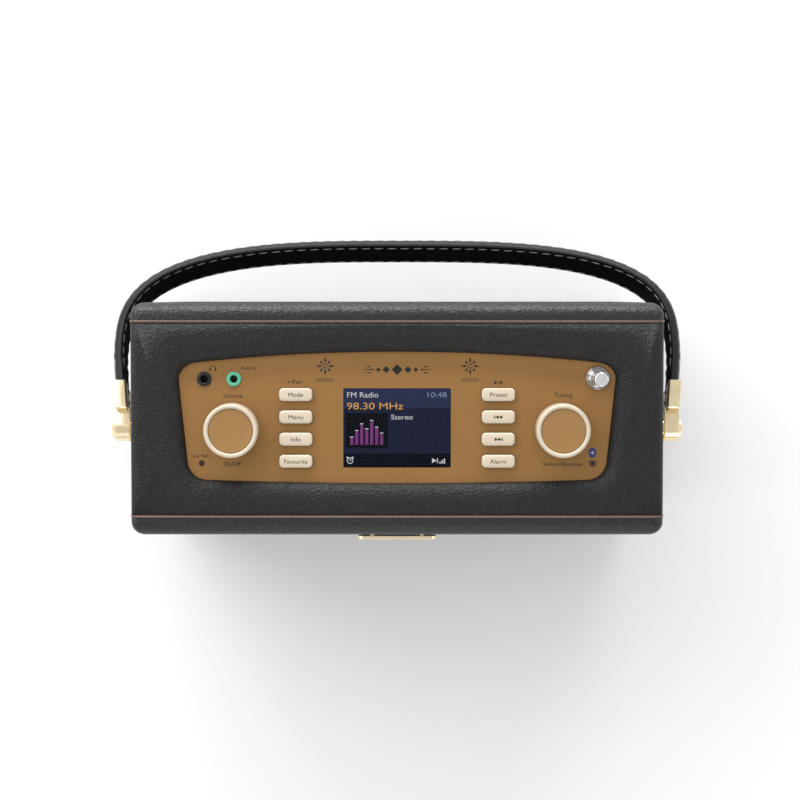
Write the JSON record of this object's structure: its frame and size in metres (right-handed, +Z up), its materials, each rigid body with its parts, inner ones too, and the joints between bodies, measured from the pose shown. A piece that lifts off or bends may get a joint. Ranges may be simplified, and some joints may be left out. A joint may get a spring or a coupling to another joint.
{
  "type": "portable radio",
  "caption": "Portable radio in a black leathercloth cabinet with a bronze top control panel, display, knobs, push buttons, telescopic aerial and a stitched leather strap handle on brass ends.",
  "frame": {"origin": "on the surface the radio stands on, at the centre of its four feet", "axes": "+X to the right seen from the front, +Y towards the back, +Z up"},
  "size_m": [0.2806, 0.1475, 0.175],
  "materials": {
    "leathercloth": "black grained, semi-matt",
    "carcass_wood": "unfinished",
    "panel_bronze": "matt bronze",
    "piping_copper": "rose copper bead",
    "grille_metal": "satin bronze mesh",
    "brass": "polished",
    "cream_plastic": "satin cream",
    "cap_bronze": "satin bronze",
    "chrome": "polished",
    "black_plastic": "satin black",
    "mint_plastic": "mint green",
    "lamp": "dark red, unlit",
    "display_glass": "clear",
    "display_face": "lit screen",
    "circuit_board": "solder mask",
    "steel": "plated",
    "magnet": "ferrite",
    "paper": "pressed paper",
    "rubber": "matt",
    "cell_sleeve": "plain printed sleeve"
  },
  "bodies": {
    "cabinet": {"cabinet_carcass": "carcass_wood", "leather_wrap": "leathercloth", "panel_lip": "leathercloth", "front_frame": "leathercloth", "rear_frame": "leathercloth", "piping": "piping_copper", "rubber_feet": "rubber", "front_badge": "brass", "speaker_grille": "grille_metal", "speaker_baffle": "carcass_wood", "speaker_basket": "steel", "speaker_magnet": "magnet", "speaker_surround": "rubber", "control_panel": "panel_bronze", "display_lens": "display_glass", "display_module": "display_face", "control_board": "circuit_board", "button_switches": "black_plastic", "rotary_encoders": "steel", "headphone_jack": "black_plastic", "aux_jack": "mint_plastic", "indicator_lamps": "lamp", "aerial_well": "black_plastic", "aerial_collar": "chrome", "main_board": "circuit_board", "tuner_module": "steel", "battery_box": "black_plastic", "battery_cells": "cell_sleeve", "battery_contacts": "steel", "rear_panel": "leathercloth", "rear_screws": "brass", "dc_socket": "black_plastic", "handle_plates": "brass", "handle_studs": "brass"},
    "handle": {"handle_strap": "leathercloth", "left_handle_end": "brass", "right_handle_end": "brass", "handle_rivets": "brass"},
    "volume_push_rod": {"volume_plunger": "black_plastic"},
    "volume_dial": {"volume_knob": "cream_plastic", "volume_knob_cap": "cap_bronze"},
    "tuning_push_rod": {"tuning_plunger": "black_plastic"},
    "tuning_dial": {"tuning_knob": "cream_plastic", "tuning_knob_cap": "cap_bronze"},
    "aerial_base": {"aerial_base_tube": "chrome"},
    "aerial_stage_2": {"aerial_second_tube": "chrome"},
    "aerial_stage_3": {"aerial_third_tube": "chrome"},
    "aerial_stage_4": {"aerial_fourth_tube": "chrome"},
    "aerial_stage_5": {"aerial_rod": "chrome"},
    "battery_door": {"battery_door": "leathercloth"},
    "battery_lock": {"battery_door_lock": "black_plastic"},
    "speaker_cone": {"speaker_cone": "paper"},
    "mode_button": {"mode_button": "cream_plastic"},
    "menu_button": {"menu_button": "cream_plastic"},
    "info_button": {"info_button": "cream_plastic"},
    "favourite_button": {"favourite_button": "cream_plastic"},
    "preset_button": {"preset_button": "cream_plastic"},
    "previous_button": {"previous_button": "cream_plastic"},
    "next_button": {"next_button": "cream_plastic"},
    "alarm_button": {"alarm_button": "cream_plastic"}
  },
  "joints": [
    {"name": "handle_swing", "type": "hinge", "parent": "cabinet", "child": "handle", "pos_m": [0, -0.0068, 0.129], "axis": [1, 0, 0], "range_deg": [0, 232]},
    {"name": "volume_push", "type": "slide", "parent": "cabinet", "child": "volume_push_rod", "axis": [0, 0, -1], "range_m": [0, 0.0006], "stiffness_N_per_m": 2500, "springref_m": -0.0004},
    {"name": "volume_turn", "type": "hinge", "parent": "volume_push_rod", "child": "volume_dial", "pos_m": [-0.079, -0.0058, 0.162], "axis": [0, 0, 1], "continuous": true},
    {"name": "tuning_push", "type": "slide", "parent": "cabinet", "child": "tuning_push_rod", "axis": [0, 0, -1], "range_m": [0, 0.0006], "stiffness_N_per_m": 2500, "springref_m": -0.0004},
    {"name": "tuning_turn", "type": "hinge", "parent": "tuning_push_rod", "child": "tuning_dial", "pos_m": [0.079, -0.0058, 0.162], "axis": [0, 0, 1], "continuous": true},
    {"name": "mode_press", "type": "slide", "parent": "cabinet", "child": "mode_button", "axis": [0, 0, -1], "range_m": [0, 0.0005], "stiffness_N_per_m": 1500, "springref_m": -0.0003},
    {"name": "menu_press", "type": "slide", "parent": "cabinet", "child": "menu_button", "axis": [0, 0, -1], "range_m": [0, 0.0005], "stiffness_N_per_m": 1500, "springref_m": -0.0003},
    {"name": "info_press", "type": "slide", "parent": "cabinet", "child": "info_button", "axis": [0, 0, -1], "range_m": [0, 0.0005], "stiffness_N_per_m": 1500, "springref_m": -0.0003},
    {"name": "favourite_press", "type": "slide", "parent": "cabinet", "child": "favourite_button", "axis": [0, 0, -1], "range_m": [0, 0.0005], "stiffness_N_per_m": 1500, "springref_m": -0.0003},
    {"name": "preset_press", "type": "slide", "parent": "cabinet", "child": "preset_button", "axis": [0, 0, -1], "range_m": [0, 0.0005], "stiffness_N_per_m": 1500, "springref_m": -0.0003},
    {"name": "previous_press", "type": "slide", "parent": "cabinet", "child": "previous_button", "axis": [0, 0, -1], "range_m": [0, 0.0005], "stiffness_N_per_m": 1500, "springref_m": -0.0003},
    {"name": "next_press", "type": "slide", "parent": "cabinet", "child": "next_button", "axis": [0, 0, -1], "range_m": [0, 0.0005], "stiffness_N_per_m": 1500, "springref_m": -0.0003},
    {"name": "alarm_press", "type": "slide", "parent": "cabinet", "child": "alarm_button", "axis": [0, 0, -1], "range_m": [0, 0.0005], "stiffness_N_per_m": 1500, "springref_m": -0.0003},
    {"name": "aerial_turn", "type": "hinge", "parent": "cabinet", "child": "aerial_base", "pos_m": [0.0961, 0.0189, 0.1], "axis": [0, 0, 1], "continuous": true},
    {"name": "aerial_stage_2_slide", "type": "slide", "parent": "aerial_base", "child": "aerial_stage_2", "axis": [0, 0, 1], "range_m": [0, 0.112]},
    {"name": "aerial_stage_3_slide", "type": "slide", "parent": "aerial_stage_2", "child": "aerial_stage_3", "axis": [0, 0, 1], "range_m": [0, 0.112]},
    {"name": "aerial_stage_4_slide", "type": "slide", "parent": "aerial_stage_3", "child": "aerial_stage_4", "axis": [0, 0, 1], "range_m": [0, 0.112]},
    {"name": "aerial_stage_5_slide", "type": "slide", "parent": "aerial_stage_4", "child": "aerial_stage_5", "axis": [0, 0, 1], "range_m": [0, 0.112]},
    {"name": "battery_door_hinge", "type": "hinge", "parent": "cabinet", "child": "battery_door", "pos_m": [0, 0.0515, 0.0176], "axis": [-1, 0, 0], "range_deg": [0, 95]},
    {"name": "battery_lock_turn", "type": "hinge", "parent": "battery_door", "child": "battery_lock", "pos_m": [0, 0.0515, 0.062], "axis": [0, 1, 0], "range_deg": [0, 90]},
    {"name": "cone_travel", "type": "slide", "parent": "cabinet", "child": "speaker_cone", "axis": [0, -1, 0], "range_m": [-0.001, 0.001], "stiffness_N_per_m": 1500, "deforming": ["speaker_surround"]}
  ]
}
